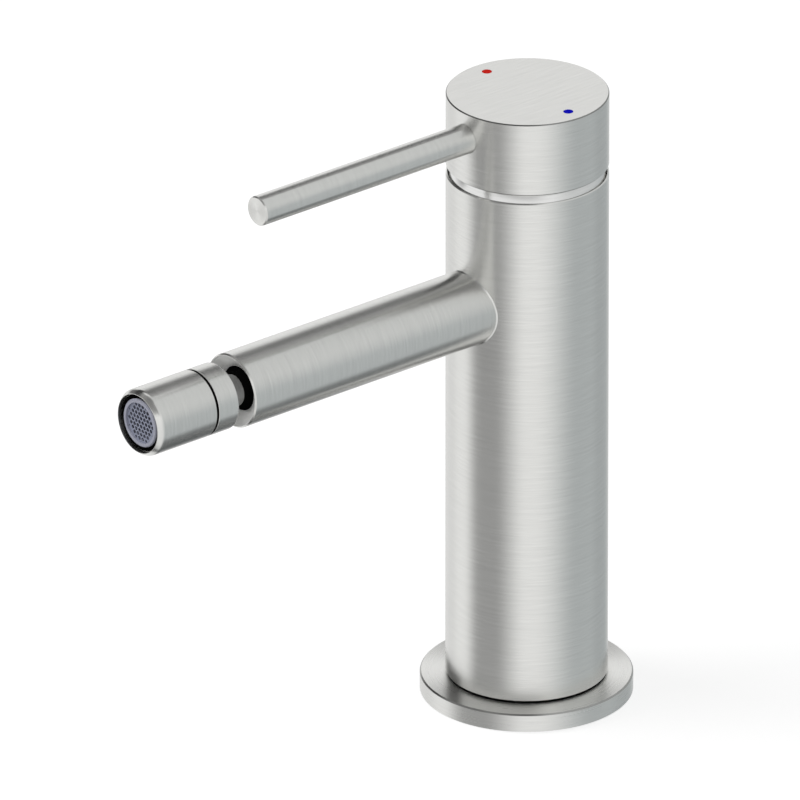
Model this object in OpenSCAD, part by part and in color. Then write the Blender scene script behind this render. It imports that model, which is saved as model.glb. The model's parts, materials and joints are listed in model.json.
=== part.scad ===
// Single-lever bidet mixer with a ball-jointed nozzle.
// Lengths are in millimetres and angles in degrees. +Z is up, and the spout and the lever point to -Y.
// The origin is the centre of the underside, on the deck.

/* [Column] */
// Outside diameter of the column and of the cap above it
body_d = 45; // [44:0.5:50]
// Length of the column tube
column_h = 151.1; // [140:0.1:180]
// Wall of the column below the cartridge
column_wall = 2; // [1.6:0.1:2.4]
// Bevel round the column's top edge
column_bevel = 0.3; // [0.2:0.05:0.35]
// Wall of the thin lip at the column's top, round the dome cover
lip_wall = 0.45; // [0.4:0.05:0.8]
// Depth of the recess inside that lip
lip_depth = 2.5; // [2:0.1:3]

/* [Base] */
// Diameter of the flange on the deck
flange_d = 59.1; // [57:0.1:70]
// Thickness of the flange
flange_t = 5.2; // [4:0.1:8]
// Bevel round the flange's top edge
flange_bevel = 0.4; // [0.2:0.1:0.8]
// Thickness of the black seal between the flange and the column
seal_t = 0.6; // [0.4:0.1:1]
// How far the black seal stands back from the column's face
seal_inset = 0.4; // [0.2:0.1:0.8]
// Mean diameter of the gasket in the flange's underside
gasket_d = 48; // [44:0.5:50]
// Width of the gasket
gasket_w = 4; // [3:0.5:5]
// Thickness of the gasket
gasket_t = 1.5; // [1:0.1:2]
// Diameter of the plug's spigot in the flange
spigot_d = 36.6; // [36:0.1:38]
// Height of the plug that closes the column's foot
plug_h = 24; // [20:1:32]

/* [Water ways] */
// Distance between the hot and the cold way
inlet_pitch = 16.4; // [16:0.1:17.6]
// How far the hot and cold ways lie in front of the column's axis
inlet_front = 4; // [3:0.1:5]
// Bore of the hot and cold ways through the valve block
inlet_bore = 5.8; // [5:0.1:6]
// Bore of the hose threads (M10 x 1)
hose_d = 9; // [8.8:0.1:9.4]
// Depth of the hose threads
hose_depth = 11; // [8:0.5:13]
// Bore of the stud thread (M8)
stud_d = 6.8; // [6.6:0.1:7]
// Depth of the stud thread
stud_depth = 16; // [10:0.5:18]
// How far the stud thread lies behind the column's axis
stud_back = 10; // [9:0.5:12]
// Outside diameter of the supply tubes
tube_d = 10; // [9:0.1:10.5]
// Wall of the supply tubes
tube_wall = 1; // [0.8:0.1:1.5]
// Depth of the sockets that hold the supply tubes
tube_socket = 6; // [4:0.5:7]
// Bore of the port that brings the mixed water down from the cartridge
port_bore = 5.6; // [5:0.1:6]
// How far that port lies behind the column's axis
port_back = 3.5; // [3:0.1:4.5]
// Bore of the way from that port forward to the spout
outlet_bore = 8.4; // [7:0.1:8.6]
// Depth of the valve block below the spout's axis
block_below = 15.8; // [13:0.1:20]

/* [Cartridge] */
// Width of the ledge round the fixed disc, inside the cartridge housing
disc_ledge = 1.2; // [1:0.1:1.5]
// Gap between the cartridge and the bore of the column's head
cartridge_gap = 0.7; // [0.4:0.1:1.2]
// Depth of the cartridge's seat below the column's top
seat_depth = 27.9; // [27.6:0.1:34]
// Thickness of the cartridge's base under its fixed disc
base_t = 3.3; // [3:0.1:4]
// Diameter of the two pins that set the cartridge's direction
locator_d = 3; // [2:0.1:3.4]
// Length of those pins
locator_l = 2.5; // [1.5:0.1:3]
// Wall of the cartridge housing
housing_wall = 1.3; // [1:0.1:1.5]
// Diameter of the fixed ceramic disc
fixed_disc_d = 30; // [29:0.1:30.6]
// Diameter of the moving ceramic disc
moving_disc_d = 26.4; // [26:0.1:26.8]
// Thickness of each ceramic disc
disc_t = 2.75; // [2.5:0.05:3.5]
// Diameter of the mixing pocket under the moving disc
pocket_d = 11.6; // [11:0.1:12]
// Depth of the mixing pocket
pocket_depth = 1.6; // [1:0.1:1.8]
// Radius of the middle line of the curved inlet ports
kidney_r = 8.4; // [8.2:0.1:8.8]
// Width of the curved inlet ports
kidney_w = 4.2; // [3.6:0.1:4.4]
// Thickness of the coupler that carries the moving disc
coupler_t = 5.05; // [4.8:0.05:6]
// Diameter of the rotor that carries the lever's pivot
rotor_d = 23.8; // [23:0.1:24.4]
// Diameter of the rotor's flange under the housing's shoulder
rotor_flange_d = 29; // [28:0.1:29.8]
// Thickness of the rotor's flange
rotor_flange_t = 2.7; // [2.2:0.1:3.2]
// Height of the pivot above the rotor's underside
pivot_rise = 3.8; // [3.6:0.1:4.4]
// Height of the rotor above the pivot
rotor_rise = 6.4; // [5.6:0.1:7]
// Thickness of the housing's shoulder
shoulder_t = 2; // [1.6:0.1:2.6]
// Wall of the housing's neck
neck_wall = 2.4; // [1.8:0.1:2.6]
// Height of the ring nut that holds the cartridge
nut_h = 5; // [4:0.1:5.4]
// Thickness of the dome cover
dome_t = 1.5; // [1:0.1:2]
// Gap between the dome cover and the lip round it
dome_gap = 0.55; // [0.3:0.05:0.8]
// Thickness of the dome cover's skirt
dome_skirt_t = 1.7; // [1.2:0.1:2]

/* [Stem] */
// Width of the square stem
stem_w = 7; // [6:0.1:7.4]
// Diameter of the pivot pin
pivot_pin_d = 3; // [2.4:0.1:3.4]
// How far each end of the pivot pin stands back in the rotor
pivot_pin_inset = 0.9; // [0.6:0.1:2]
// Length of the stem from the pivot down to the middle of its tip
stem_arm = 5.2; // [5:0.1:5.4]
// Diameter of the stem's ball tip
tip_d = 5.6; // [5:0.1:5.8]
// Diameter of the stem's neck above the tip
tip_neck_d = 3.6; // [3:0.1:3.8]

/* [Cap and lever] */
// Height of the cap
cap_h = 21.3; // [20:0.1:26]
// Gap between the column and the cap
cap_gap = 2.5; // [2.2:0.1:3.5]
// Wall of the cap
cap_wall = 2; // [1.6:0.1:3]
// Thickness of the cap's top
cap_top_t = 2.6; // [2:0.1:3.5]
// Bevel round the cap's edges
cap_bevel = 0.3; // [0.2:0.1:0.6]
// Diameter of the boss that holds the stem
boss_d = 18; // [15:0.5:20]
// Diameter of the lever
lever_d = 8.5; // [7:0.1:9]
// Reach of the lever from the column's axis
lever_reach = 96.6; // [70:0.1:120]
// Depth of the lever's axis below the cap's top
lever_drop = 7.7; // [7.2:0.1:8.6]
// Bevel round the lever's end
lever_bevel = 0.4; // [0.2:0.1:0.8]
// Distance from the column's axis at which the lever seats in the cap
lever_seat = 16; // [14:0.5:18]
// Diameter of the lever's screw thread and of the grub screw
screw_d = 5; // [4:0.5:5.5]
// Length of the grub screw
grub_l = 5; // [4:0.5:6]
// Width across the flats of the grub screw's hexagon socket
hex_w = 2.5; // [2:0.1:2.6]
// Diameter of the red and the blue dot
dot_d = 2.7; // [2:0.1:4]
// Distance of each dot from the column's axis
dot_offset = 17.3; // [12:0.1:19]
// Depth of the dots
dot_depth = 0.5; // [0.3:0.1:1]

/* [Spout] */
// Outside diameter of the spout
spout_d = 21.2; // [20.4:0.1:24]
// Wall of the spout
spout_wall = 1.9; // [1.6:0.1:1.9]
// Reach of the spout's mouth from the column's axis
spout_reach = 106; // [80:0.1:150]
// Depth of the spout's axis below the cartridge's seat
spout_below_seat = 7.2; // [7.1:0.1:30]
// Bevel round the spout's mouth
mouth_bevel = 0.25; // [0.1:0.05:0.4]
// Wall left at the mouth round the retainer
mouth_wall = 0.5; // [0.45:0.05:0.8]
// Length of the connector inside the spout
connector_l = 9; // [8:0.5:14]
// Thread diameter of the connector in the valve block (M12)
connector_d = 12; // [11:0.1:12.4]
// Length of that thread
connector_thread_l = 8; // [6:0.5:9]
// Bore of the connector
connector_bore = 8.4; // [7.6:0.1:8.8]

/* [Ball joint] */
// Diameter of the ball
ball_d = 14; // [13.6:0.1:14.2]
// Depth of the ball's centre behind the spout's mouth
ball_inset = 6.1; // [5.6:0.1:7]
// Diameter of the retainer's opening
opening_d = 12.7; // [12.4:0.1:12.9]
// Bore of the neck through the ball
ball_bore = 6; // [5:0.1:6.4]
// Width of the neck's shoulder in front of the ball
neck_step = 0.6; // [0.4:0.1:0.8]
// Length of the straight lip in the retainer's opening
retainer_lip = 0.2; // [0.1:0.05:0.4]
// Thickness of the retainer's flange in the mouth
retainer_flange_t = 3.4; // [3:0.1:4]
// Length of the bush behind the ball's slip ring
bush_l = 6; // [4:0.5:12]
// Bore of that bush
bush_bore = 11; // [9:0.1:12]
// Bore of the slip ring behind the ball
slip_bore = 8.2; // [7.5:0.1:9]
// Depth of the slip ring
slip_t = 4.6; // [4:0.1:5]

/* [Nozzle] */
// Diameter of the nozzle
nozzle_d = 19.15; // [18.4:0.05:20]
// Gap between the spout's mouth and the nozzle
nozzle_gap = 5; // [4.6:0.1:8]
// Length of the nozzle's rear ring
ring_l = 7; // [5:0.05:12]
// Thickness of the black washer in the nozzle
washer_t = 0.8; // [0.3:0.1:1]
// Length of the nozzle's sleeve
sleeve_l = 20.3; // [19:0.05:26]
// Bore of the sleeve's thread
sleeve_bore = 16.5; // [16:0.1:16.6]
// Bore of the sleeve's rim
rim_bore = 17.2; // [17:0.1:17.4]
// Depth of the sleeve's rim
rim_depth = 2.1; // [1.8:0.1:3]
// Length of the rounded edge of the rim
rim_round_l = 1.7; // [1:0.1:2.5]
// Width of the rounded edge of the rim
rim_round_w = 0.75; // [0.3:0.05:0.75]
// Length of the threaded spigot inside the sleeve
nozzle_spigot_l = 5.95; // [4:0.05:7]
// Wall of that spigot
nozzle_spigot_wall = 1.6; // [1.2:0.1:2]

/* [Aerator] */
// Thickness of the aerator's flat seal
aerator_seal_t = 1.15; // [0.8:0.05:1.6]
// How far the aerator's face stands back from the rim
aerator_inset = 1.2; // [1:0.1:1.6]
// Wall of the aerator's black housing
aerator_wall = 1.2; // [1:0.1:1.4]
// Diameter of the mesh
mesh_d = 11.7; // [11:0.1:11.8]
// How far the insert stands out of the black housing
insert_proud = 0.6; // [0.2:0.1:0.8]
// Depth of the mesh behind the insert's rim
mesh_inset = 0.6; // [0.2:0.1:0.8]
// Thickness of the mesh
mesh_t = 0.6; // [0.4:0.1:1]
// Distance from hole to hole in the mesh
mesh_pitch = 1.4; // [1:0.1:1.6]
// Bar left between two holes of the mesh
mesh_bar = 0.35; // [0.3:0.05:0.7]
// Thickness of the perforated disc behind the mesh
jet_disc_t = 2; // [1:0.1:3]
// Number of holes in that disc
jet_count = 10; // [6:1:14]
// Diameter of those holes
jet_d = 1.2; // [0.8:0.1:1.4]

/* [Motion] */
// Largest lift of the lever
lift_max = 25; // [15:1:26]
// Largest tilt of the nozzle
tilt_max = 20; // [10:1:20]

/* [Clearances] */
// Clearance round a seated piece
fit = 0.05; // [0.02:0.01:0.1]
// Clearance of a piece that turns or slides
run = 0.05; // [0.03:0.01:0.08]
// Clearance between the swinging cap and what it passes
swing_gap = 0.3; // [0.2:0.05:0.5]
// Clearance of the stem in its slot and its socket
slot_gap = 0.15; // [0.12:0.01:0.2]
// Thickness of the O-rings
oring_t = 1.6; // [1.4:0.05:1.7]

/* [Hidden] */
$fn = 96;

steel = "#b8bab7";
brass = "#c9a859";
copper = "#c07a50";
rubber = "#1c1c1e";
ceramic = "#f0efe8";
white_plastic = "#dfe3e4";
grey_plastic = "#8f99a6";
black_plastic = "#141416";

// Column and base, upwards from the deck
body_r = body_d / 2;
bore_r = body_r - column_wall;
column_z0 = flange_t + seal_t;
column_z1 = column_z0 + column_h;
seat_z = column_z1 - seat_depth;
spout_z = seat_z - spout_below_seat;
block_z0 = spout_z - block_below;
plug_r = bore_r - fit;
spigot_r = spigot_d / 2;
edge = 0.3;
past = 1;

// Cartridge, upwards from its seat
base_top = seat_z + base_t;
base_rim_h = 1.2;
fixed_disc_z = base_top + fit;
moving_disc_z = fixed_disc_z + disc_t + run;
coupler_z = moving_disc_z + disc_t + fit;
rotor_z = coupler_z + coupler_t + 2 * run;
shoulder_z = rotor_z + rotor_flange_t + run;
pivot_z = rotor_z + pivot_rise;
rotor_top = pivot_z + rotor_rise;
housing_r = fixed_disc_d / 2 + disc_ledge;
cartridge_r = housing_r + housing_wall;
housing_neck_r = rotor_d / 2 + run + neck_wall;
head_r = cartridge_r + cartridge_gap;
nut_z = shoulder_z + shoulder_t + fit;
rail_t = 2;
rail_l = 13;
rail_drop = 2.6;
rail_x = 9.4;
peg_d = 2.4;
peg_l = 1.2;
peg_y = 9;
key_d = 2.6;
locator_x = 10;
locator_back = 8;
locator_end = 0.5;
key_inset = 0.6;
kidney_entry = 0.8;
coupler_inset = 0.5;
socket_flare = 1;
key_r = fixed_disc_d / 2 - key_inset;
oring_r = oring_t / 2;
port_ring_r = max(inlet_bore, port_bore) / 2 + fit + oring_r;

// Cap, all of it outside the sphere that its mouth sweeps round the pivot
cap_z0 = column_z1 + cap_gap;
cap_z1 = cap_z0 + cap_h;
cap_ceiling = cap_z1 - cap_top_t;
cap_bore_r = body_r - cap_wall;
column_corner_r = max(
    norm([body_r, column_z1 - column_bevel - pivot_z]),
    norm([body_r - column_bevel, column_z1 - pivot_z]));
sweep_r = column_corner_r + swing_gap;
cap_mouth_r = min(body_r - 2 * cap_bevel, max(cap_bore_r, sqrt(pow(sweep_r, 2) - pow(cap_z0 - pivot_z, 2))));
cap_relief_z = pivot_z + sqrt(pow(sweep_r, 2) - pow(cap_bore_r, 2));
lip_r = body_r - lip_wall;
recess_z = column_z1 - lip_depth;
dome_edge_r = lip_r - dome_gap;
dome_r = norm([dome_edge_r, column_z1 - pivot_z]);
dome_skirt_z = nut_z + nut_h + swing_gap;
stem_half = stem_w / 2;
dome_opening_r = norm([stem_half, stem_half * cos(lift_max) + dome_r * sin(lift_max)]) + swing_gap;
boss_r = boss_d / 2;
boss_z = pivot_z + dome_r + swing_gap;
stem_roof = 1.2;
stem_top = cap_ceiling - stem_roof;
lever_z = cap_z1 - lever_drop;
lever_rib_drop = 1.4;
lever_rib_r = lever_drop - lever_rib_drop;
screw_r = screw_d / 2;
grub_s = stem_half + fit;

// Spout and ball joint, outwards from the column's axis
spout_r = spout_d / 2;
spout_bore_r = spout_r - spout_wall;
ball_r = ball_d / 2;
ball_s = spout_reach - ball_inset;
socket_r = ball_r + run;
opening_r = opening_d / 2;
opening_a = sqrt(pow(socket_r, 2) - pow(opening_r, 2));
retainer_r = spout_r - mouth_wall - fit;
retainer_shelf = spout_reach - retainer_flange_t;
slip_r = ball_r;
slip_floor = 0.45;
slip_s = ball_s - socket_r - slip_floor;
bush_shelf = slip_s - run;
seal_fit = 0.02;
seal_back = 0.08;
seal_ring_r = spout_bore_r - seal_fit - oring_r;
seal_s = ball_s - oring_r - seal_back;
bush_front = seal_s - oring_r - seal_fit;
ball_neck_r = (opening_r - 2 * slot_gap - opening_a * tan(tilt_max)) * cos(tilt_max);
ball_thread_r = ball_neck_r - neck_step;
ball_flat_s = ball_s + sqrt(pow(ball_r, 2) - pow(ball_neck_r, 2));

// Nozzle and aerator, outwards from the mouth
nozzle_r = nozzle_d / 2;
ring_s = spout_reach + nozzle_gap;
washer_s = ring_s + ring_l;
sleeve_s = washer_s + washer_t;
nozzle_tip = sleeve_s + sleeve_l;
sleeve_bore_r = sleeve_bore / 2;
thread_r = sleeve_bore_r - fit;
rim_r = rim_bore / 2;
spigot_end = washer_s + nozzle_spigot_l;
cup_floor = 1;
aerator_seal_s = spigot_end + fit;
aerator_s = aerator_seal_s + aerator_seal_t + fit;
aerator_face = nozzle_tip - aerator_inset;
aerator_seal_w = 2;
aerator_floor = 1.1;
aerator_hold = 1;
insert_r = thread_r - aerator_wall - fit;
insert_s = aerator_s + aerator_floor + fit;
insert_face = aerator_face + insert_proud;
mesh_r = mesh_d / 2;
mesh_s = insert_face - mesh_inset - mesh_t;
mesh_ledge = 0.5;
jet_ledge = 0.8;
jet_floor = 2;
jet_disc_s = insert_s + jet_floor;

// A piece turned on a lathe, from points of radius and height
module turned(points) {
    rotate_extrude() polygon(points);
}

// An O-ring lying flat at the origin
module oring(middle_r) {
    rotate_extrude() translate([middle_r, 0]) circle(r = oring_r, $fn = 48);
}

// Things that lie along the spout: their Z is the distance from the column's axis
module on_spout() {
    translate([0, 0, spout_z]) rotate([90, 0, 0]) children();
}

// Things that lie along the lever
module on_lever() {
    translate([0, 0, lever_z]) rotate([90, 0, 0]) children();
}

// The hot way is on the left and the cold way on the right, seen from the front
module at_inlets() {
    for (side = [-1, 1]) translate([side * inlet_pitch / 2, -inlet_front, 0]) children();
}

module at_port() {
    translate([0, port_back, 0]) children();
}

module at_locators() {
    for (side = [-1, 1]) translate([side * locator_x, locator_back, 0]) children();
}

// Curved inlet port, one on each side of the front
module kidneys(height) {
    first = 28;
    last = 78;
    for (side = [0, 1]) mirror([side, 0, 0]) rotate([0, 0, first - 90])
        rotate_extrude(angle = last - first)
            translate([kidney_r - kidney_w / 2, 0]) square([kidney_w, height]);
}

module column() {
    color(steel) difference() {
        turned([
            [bore_r, column_z0],
            [body_r - edge, column_z0],
            [body_r, column_z0 + edge],
            [body_r, column_z1 - column_bevel],
            [body_r - column_bevel, column_z1],
            [lip_r, column_z1],
            [lip_r, recess_z],
            [head_r, recess_z],
            [head_r, seat_z],
            [bore_r, seat_z],
        ]);
        on_spout() cylinder(d = connector_d + 2 * fit, h = body_d);
    }
}

module base_flange() {
    r = flange_d / 2;
    color(steel) difference() {
        turned([
            [spigot_r + fit, 0],
            [r, 0],
            [r, flange_t - flange_bevel],
            [r - flange_bevel, flange_t],
            [spigot_r + fit, flange_t],
        ]);
        translate([0, 0, -past]) difference() {
            cylinder(d = gasket_d + gasket_w + 2 * fit, h = gasket_t + fit + past);
            cylinder(d = gasket_d - gasket_w - 2 * fit, h = gasket_t + fit + past);
        }
    }
}

module base_seal() {
    r = body_r - seal_inset;
    color(rubber) turned([
        [spigot_r + fit, flange_t], [r, flange_t], [r, column_z0], [spigot_r + fit, column_z0],
    ]);
}

module deck_gasket() {
    color(rubber) difference() {
        cylinder(d = gasket_d + gasket_w, h = gasket_t);
        translate([0, 0, -past]) cylinder(d = gasket_d - gasket_w, h = gasket_t + 2 * past);
    }
}

module base_plug() {
    color(brass) difference() {
        turned([
            [0, 0], [spigot_r, 0], [spigot_r, column_z0], [plug_r, column_z0],
            [plug_r, plug_h - edge], [plug_r - edge, plug_h], [0, plug_h],
        ]);
        at_inlets() {
            translate([0, 0, -past]) cylinder(d = hose_d, h = hose_depth + past);
            cylinder(r = tube_d / 2 - tube_wall, h = plug_h);
            translate([0, 0, plug_h - tube_socket]) cylinder(r = tube_d / 2 + fit, h = tube_socket + past);
        }
        translate([0, stud_back, -past]) cylinder(d = stud_d, h = stud_depth + past);
    }
}

// One supply tube, standing in the plug and reaching into the valve block
module supply_tube() {
    z0 = plug_h - tube_socket + fit;
    z1 = block_z0 + tube_socket - fit;
    translate([0, 0, z0]) difference() {
        cylinder(d = tube_d, h = z1 - z0);
        translate([0, 0, -past]) cylinder(r = tube_d / 2 - tube_wall, h = z1 - z0 + 2 * past);
    }
}

module hot_tube() {
    color(copper) translate([-inlet_pitch / 2, -inlet_front, 0]) supply_tube();
}

module cold_tube() {
    color(copper) translate([inlet_pitch / 2, -inlet_front, 0]) supply_tube();
}

module valve_block() {
    color(brass) difference() {
        turned([
            [0, block_z0], [plug_r - edge, block_z0], [plug_r, block_z0 + edge],
            [plug_r, seat_z], [0, seat_z],
        ]);
        at_inlets() {
            translate([0, 0, block_z0 - past]) cylinder(r = tube_d / 2 + fit, h = tube_socket + past);
            translate([0, 0, block_z0]) cylinder(d = inlet_bore, h = seat_z - block_z0 + past);
        }
        at_port() translate([0, 0, spout_z]) cylinder(d = port_bore, h = seat_z - spout_z + past);
        on_spout() translate([0, 0, -port_back - port_bore / 2]) cylinder(d = outlet_bore, h = body_r);
        on_spout() translate([0, 0, bore_r - connector_thread_l])
            cylinder(d = connector_d + 2 * fit, h = connector_thread_l + past);
        at_locators() translate([0, 0, seat_z - locator_l - locator_end])
            cylinder(d = locator_d + 2 * fit, h = locator_l + locator_end + past);
    }
}

module cartridge_base() {
    z0 = seat_z + fit;
    ring_depth = oring_t + fit;
    color(white_plastic) difference() {
        union() {
            turned([
                [0, z0], [cartridge_r - edge, z0], [cartridge_r, z0 + edge],
                [cartridge_r, base_top], [housing_r - fit, base_top],
                [housing_r - fit, base_top + base_rim_h],
                [fixed_disc_d / 2 + fit, base_top + base_rim_h], [fixed_disc_d / 2 + fit, base_top],
                [0, base_top],
            ]);
            at_locators() translate([0, 0, z0 - locator_l]) cylinder(d = locator_d, h = locator_l + past);
            for (side = [-1, 1]) translate([side * key_r, 0, base_top - past])
                cylinder(d = key_d, h = base_rim_h + past);
        }
        at_inlets() {
            translate([0, 0, z0 - past]) cylinder(d = inlet_bore, h = base_t + 2 * past);
            translate([0, 0, z0 - past]) cylinder(r = port_ring_r + oring_r + fit, h = ring_depth + past);
        }
        at_port() {
            translate([0, 0, z0 - past]) cylinder(d = port_bore, h = base_t + 2 * past);
            translate([0, 0, z0 - past]) cylinder(r = port_ring_r + oring_r + fit, h = ring_depth + past);
        }
        translate([0, 0, base_top - kidney_entry]) kidneys(kidney_entry + past);
    }
}

module cartridge_seals() {
    ring_z = seat_z + fit + oring_r;
    color(rubber) {
        at_inlets() translate([0, 0, ring_z]) oring(port_ring_r);
        at_port() translate([0, 0, ring_z]) oring(port_ring_r);
    }
}

module cartridge_housing() {
    bore = rotor_d / 2 + run;
    neck_top = rotor_top - edge;
    color(grey_plastic) turned([
        [housing_r, base_top + fit], [cartridge_r, base_top + fit],
        [cartridge_r, shoulder_z + shoulder_t], [housing_neck_r, shoulder_z + shoulder_t],
        [housing_neck_r, neck_top - edge], [housing_neck_r - edge, neck_top],
        [bore, neck_top], [bore, shoulder_z], [housing_r, shoulder_z],
    ]);
}

module fixed_disc() {
    color(ceramic) translate([0, 0, fixed_disc_z]) difference() {
        cylinder(d = fixed_disc_d, h = disc_t);
        translate([0, 0, -past]) {
            kidneys(disc_t + 2 * past);
            at_port() cylinder(d = port_bore, h = disc_t + 2 * past);
            for (side = [-1, 1]) translate([side * key_r, 0, 0])
                cylinder(d = key_d + 2 * fit, h = disc_t + 2 * past);
        }
    }
}

module cartridge_nut() {
    r = head_r - fit;
    bore = housing_neck_r + 3 * fit;
    notch_w = 4;
    notch_depth = 1.8;
    color(brass) difference() {
        turned([
            [bore, nut_z], [r - edge, nut_z], [r, nut_z + edge],
            [r, nut_z + nut_h - edge], [r - edge, nut_z + nut_h], [bore, nut_z + nut_h],
        ]);
        for (turn = [0:60:300]) rotate([0, 0, turn])
            translate([0, -notch_w / 2, nut_z + nut_h - notch_depth])
            cube([head_r + past, notch_w, notch_depth + past]);
    }
}

// A sphere round the pivot, with a brim in the column's recess and a skirt that slips into its head
module dome_cover() {
    skirt_r = head_r - fit;
    skirt_z = dome_skirt_z - pivot_z;
    brim_z = recess_z + fit - pivot_z;
    color(steel) translate([0, 0, pivot_z]) rotate_extrude() difference() {
        intersection() {
            circle(r = dome_r, $fn = 180);
            union() {
                translate([dome_opening_r, brim_z]) square([dome_edge_r - dome_opening_r, dome_r]);
                translate([dome_opening_r, skirt_z]) square([skirt_r - dome_opening_r, dome_r]);
            }
        }
        intersection() {
            circle(r = dome_r - dome_t, $fn = 180);
            square([skirt_r - dome_skirt_t, dome_r]);
        }
    }
}

module spout_tube() {
    color(steel) difference() {
        on_spout() turned([
            [spout_bore_r, body_r / 2],
            [spout_r, body_r / 2],
            [spout_r, spout_reach - mouth_bevel],
            [spout_r - mouth_bevel, spout_reach],
            [retainer_r + fit, spout_reach],
            [retainer_r + fit, retainer_shelf],
            [spout_bore_r, retainer_shelf],
        ]);
        translate([0, 0, column_z0]) cylinder(r = body_r, h = column_h);
    }
}

module spout_connector() {
    r = spout_bore_r - fit;
    thread = connector_d / 2;
    bore = connector_bore / 2;
    groove = seal_ring_r - oring_r - seal_fit;
    color(brass) on_spout() difference() {
        turned([
            [bore, bore_r - connector_thread_l + fit], [thread - edge, bore_r - connector_thread_l + fit],
            [thread, bore_r - connector_thread_l + fit + edge], [thread, body_r + fit],
            [r, body_r + fit], [r, body_r + connector_l], [bore, body_r + connector_l],
        ]);
        for (place = spout_seal_places()) translate([0, 0, place - oring_r - seal_fit]) difference() {
            cylinder(r = spout_r, h = oring_t + 2 * seal_fit);
            translate([0, 0, -past]) cylinder(r = groove, h = oring_t + 2 * past);
        }
    }
}

// The two O-rings of the connector, at distances from the column's axis
function spout_seal_places() = [for (share = [1, 2]) body_r + share * connector_l / 3];

module spout_seals() {
    color(rubber) on_spout() for (place = spout_seal_places())
        translate([0, 0, place]) oring(seal_ring_r);
}

module joint_bush() {
    r = spout_bore_r - fit;
    color(brass) on_spout() turned([
        [bush_bore / 2, bush_shelf - bush_l], [r, bush_shelf - bush_l], [r, bush_front],
        [slip_r + run, bush_front], [slip_r + run, bush_shelf], [bush_bore / 2, bush_shelf],
    ]);
}

module slip_ring() {
    color(white_plastic) on_spout() rotate_extrude() difference() {
        translate([slip_bore / 2, slip_s]) square([slip_r - slip_bore / 2, slip_t]);
        translate([0, ball_s]) circle(r = socket_r);
    }
}

module ball_seal() {
    color(rubber) on_spout() translate([0, 0, seal_s]) oring(seal_ring_r);
}

module ball_retainer() {
    thread = spout_bore_r - fit;
    back = seal_s + oring_r + seal_fit;
    throat = ball_s + opening_a + retainer_lip;
    color(steel) on_spout() rotate_extrude() difference() {
        polygon([
            [opening_r, back], [thread, back], [thread, retainer_shelf + fit],
            [retainer_r, retainer_shelf + fit], [retainer_r, spout_reach - fit],
            [opening_r, throat],
        ]);
        translate([0, ball_s]) circle(r = socket_r);
    }
}

// Black ball, screwed on the neck and cut flat where it meets the neck's shoulder
module nozzle_ball() {
    color(black_plastic) on_spout() rotate_extrude() difference() {
        translate([0, ball_s]) circle(r = ball_r);
        translate([-ball_d, ball_s - ball_d]) square([ball_d + ball_thread_r + fit, 2 * ball_d]);
        translate([0, ball_flat_s - fit]) square(ball_d);
    }
}

// Neck, rear ring and threaded spigot, turned in one piece
module nozzle_neck() {
    bore = ball_bore / 2;
    back_s = 2 * ball_s - ball_flat_s + edge;
    cup = thread_r - nozzle_spigot_wall;
    cup_s = washer_s + cup_floor;
    color(steel) on_spout() turned([
        [bore, back_s], [ball_thread_r - edge, back_s], [ball_thread_r, back_s + edge],
        [ball_thread_r, ball_flat_s], [ball_neck_r, ball_flat_s], [ball_neck_r, ring_s],
        [nozzle_r - edge, ring_s], [nozzle_r, ring_s + edge],
        [nozzle_r, washer_s - edge / 2], [nozzle_r - edge / 2, washer_s], [thread_r, washer_s],
        [thread_r, spigot_end - edge], [thread_r - edge, spigot_end], [cup, spigot_end],
        [cup, cup_s], [bore, cup_s - cup + bore],
    ]);
}

module nozzle_washer() {
    r = nozzle_r - edge / 2;
    color(rubber) on_spout() turned([
        [sleeve_bore_r, washer_s], [r, washer_s], [r, sleeve_s], [sleeve_bore_r, sleeve_s],
    ]);
}

module nozzle_sleeve() {
    round_steps = 6;
    round_s = nozzle_tip - rim_round_l;
    color(steel) on_spout() turned(concat(
        [[sleeve_bore_r, sleeve_s], [nozzle_r - edge / 2, sleeve_s], [nozzle_r, sleeve_s + edge / 2]],
        [for (i = [0:round_steps]) let (a = 90 * i / round_steps) [
            nozzle_r - rim_round_w * (1 - cos(a)),
            round_s + rim_round_l * sin(a),
        ]],
        [[rim_r, nozzle_tip], [rim_r, nozzle_tip - rim_depth], [sleeve_bore_r, nozzle_tip - rim_depth]]
    ));
}

module aerator_seal() {
    color(rubber) on_spout() turned([
        [thread_r - aerator_seal_w, aerator_seal_s], [thread_r, aerator_seal_s],
        [thread_r, aerator_seal_s + aerator_seal_t],
        [thread_r - aerator_seal_w, aerator_seal_s + aerator_seal_t],
    ]);
}

module aerator_housing() {
    color(black_plastic) on_spout() turned([
        [insert_r - aerator_hold, aerator_s], [thread_r, aerator_s],
        [thread_r, aerator_face - edge], [thread_r - edge, aerator_face],
        [insert_r + fit, aerator_face], [insert_r + fit, aerator_s + aerator_floor],
        [insert_r - aerator_hold, aerator_s + aerator_floor],
    ]);
}

module aerator_insert() {
    mid_r = mesh_r - mesh_ledge;
    color(grey_plastic) on_spout() turned([
        [mid_r - jet_ledge, insert_s], [insert_r, insert_s],
        [insert_r, insert_face - edge], [insert_r - edge, insert_face],
        [mesh_r + fit, insert_face], [mesh_r + fit, mesh_s - fit],
        [mid_r, mesh_s - fit], [mid_r, jet_disc_s - fit], [mid_r - jet_ledge, jet_disc_s - fit],
    ]);
}

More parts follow.
